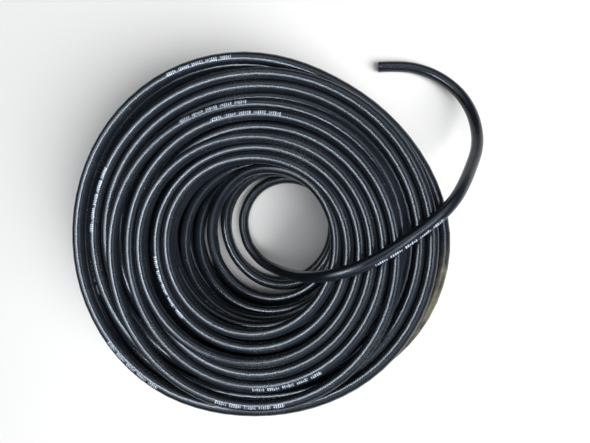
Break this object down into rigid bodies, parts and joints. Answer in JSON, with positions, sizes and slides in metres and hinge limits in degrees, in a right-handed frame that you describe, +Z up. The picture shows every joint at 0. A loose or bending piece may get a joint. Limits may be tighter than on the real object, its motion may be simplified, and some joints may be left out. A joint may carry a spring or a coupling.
{
  "type": "coiled air hose",
  "caption": "Long reinforced PVC air hose wound into a loose flat coil, with one bare end crossing over the top.",
  "frame": {"origin": "centre of the coil's eye on the surface that the coil lies on", "axes": "+Z up along the coil's axis, +X towards the side where the free end drops over the rim, +Y towards the bare tip"},
  "size_m": [0.4564, 0.3866, 0.1322],
  "materials": {
    "hose_cover": "blue-black soft PVC, satin, braid showing through as fine ribs",
    "braid_yarn": "white polyester yarn, braided",
    "inner_tube": "smooth black soft PVC"
  },
  "bodies": {
    "root": {"coil_winding": "hose_cover", "inner_loops": "hose_cover", "free_end_cover": "hose_cover", "free_end_braid": "braid_yarn", "free_end_inner_tube": "inner_tube", "tail_cover": "hose_cover", "tail_braid": "braid_yarn", "tail_inner_tube": "inner_tube"}
  },
  "joints": []
}
